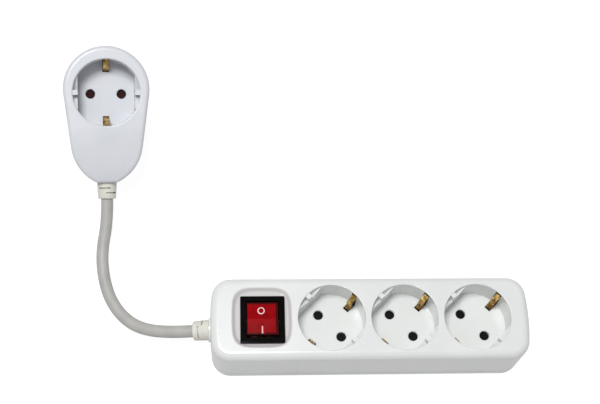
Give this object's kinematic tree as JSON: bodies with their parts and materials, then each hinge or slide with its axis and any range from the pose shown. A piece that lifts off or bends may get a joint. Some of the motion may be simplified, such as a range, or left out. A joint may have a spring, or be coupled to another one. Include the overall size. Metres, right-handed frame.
{
  "type": "power strip",
  "caption": "Switched socket strip with earthed round sockets, a lit rocker switch and a short grey lead ending in a through-plug.",
  "frame": {"origin": "middle of the strip's underside, on the surface it lies on; the plug and lead are left out of that middle", "axes": "+X along the strip from the lead end to the far socket, +Z out of the sockets, +Y to the side the plug lies on"},
  "size_m": [0.2797, 0.1985, 0.0699],
  "materials": {
    "housing_white": "polished mould, glossy",
    "base_white": "moulded, semi-gloss",
    "plug_white": "moulded, semi-gloss",
    "switch_black": "moulded, semi-gloss",
    "rocker_red": "translucent, ribbed inside",
    "plunger_white": "moulded",
    "shutter_black": "moulded",
    "shutter_brown": "moulded",
    "brass": "stamped",
    "clip_brass": "stamped, bright",
    "contact_copper": "stamped copper alloy",
    "pin_nickel": "nickel plated",
    "zinc_steel": "zinc plated",
    "spring_steel": "drawn wire",
    "lamp_glass": "clear neon tube",
    "core_brown": "extruded",
    "core_blue": "extruded",
    "core_green": "extruded, green and yellow",
    "clamp_grey": "moulded",
    "cord_grey": "smooth sheath, satin",
    "collar_cream": "soft moulded, satin"
  },
  "bodies": {
    "housing": {"top_cover": "housing_white", "base_cover": "base_white", "cover_screws": "zinc_steel", "live_rail": "brass", "neutral_rail": "brass", "earth_rail": "brass", "earth_clip_1": "clip_brass", "earth_clip_2": "clip_brass", "earth_clip_3": "clip_brass", "shutter_spring_1": "spring_steel", "shutter_spring_2": "spring_steel", "shutter_spring_3": "spring_steel", "shutter_retainer_1": "spring_steel", "shutter_retainer_2": "spring_steel", "shutter_retainer_3": "spring_steel", "switch_housing": "switch_black", "switch_terminals": "contact_copper", "neon_lamp": "lamp_glass", "live_wire": "core_brown", "neutral_wire": "core_blue", "earth_wire": "core_green", "live_link": "core_brown", "neutral_link": "core_blue", "cord_clamp": "clamp_grey", "clamp_screws": "zinc_steel", "strip_cord_sleeve": "collar_cream", "cord_tail_strip": "cord_grey", "cord": "cord_grey", "plug_cord_sleeve": "collar_cream", "cord_tail_plug": "cord_grey", "plug_cover": "plug_white", "plug_base": "plug_white", "plug_pin_live": "pin_nickel", "plug_pin_neutral": "pin_nickel", "plug_contact_live": "brass", "plug_contact_neutral": "brass", "plug_earth_bracket": "clip_brass", "plug_shutter_spring": "spring_steel", "plug_shutter_retainer": "spring_steel", "plug_screws": "zinc_steel", "plug_cord_clamp": "clamp_grey"},
    "rocker": {"rocker": "rocker_red", "rocker_plungers": "plunger_white", "plunger_springs": "spring_steel"},
    "contact_arms": {"contact_arms": "contact_copper"},
    "shutter_1": {"shutter_1": "shutter_black"},
    "shutter_2": {"shutter_2": "shutter_black"},
    "shutter_3": {"shutter_3": "shutter_black"},
    "plug_shutter": {"plug_shutter": "shutter_brown"}
  },
  "joints": [
    {"name": "rocker_tilt", "type": "hinge", "parent": "housing", "child": "rocker", "pos_m": [-0.0635, -0.001, 0.0352], "axis": [1, 0, 0], "range_deg": [0, 12]},
    {"name": "contact_arm_tilt", "type": "hinge", "parent": "housing", "child": "contact_arms", "pos_m": [-0.0635, -0.001, 0.024], "axis": [1, 0, 0], "range_deg": [-9.7, 0]},
    {"name": "shutter_1_turn", "type": "hinge", "parent": "housing", "child": "shutter_1", "pos_m": [-0.023, 0, 0.0195], "axis": [0, 0, 1], "range_deg": [0, 40], "stiffness_Nm_per_rad": 0.0004, "springref_deg": -28.65, "deforming": ["shutter_spring_1"]},
    {"name": "shutter_2_turn", "type": "hinge", "parent": "housing", "child": "shutter_2", "pos_m": [0.02, 0, 0.0195], "axis": [0, 0, 1], "range_deg": [0, 40], "stiffness_Nm_per_rad": 0.0004, "springref_deg": -28.65, "deforming": ["shutter_spring_2"]},
    {"name": "shutter_3_turn", "type": "hinge", "parent": "housing", "child": "shutter_3", "pos_m": [0.063, 0, 0.0195], "axis": [0, 0, 1], "range_deg": [0, 40], "stiffness_Nm_per_rad": 0.0004, "springref_deg": -28.65, "deforming": ["shutter_spring_3"]},
    {"name": "plug_shutter_turn", "type": "hinge", "parent": "housing", "child": "plug_shutter", "pos_m": [-0.15911, 0.14538, 0.03965], "axis": [0.1197, -0.4086, 0.9048], "range_deg": [0, 40], "stiffness_Nm_per_rad": 0.0004, "springref_deg": -28.65, "deforming": ["plug_shutter_spring"]}
  ],
  "couplings": [
    {"joint": "contact_arm_tilt", "follows": "rocker_tilt", "ratio": -0.8}
  ]
}
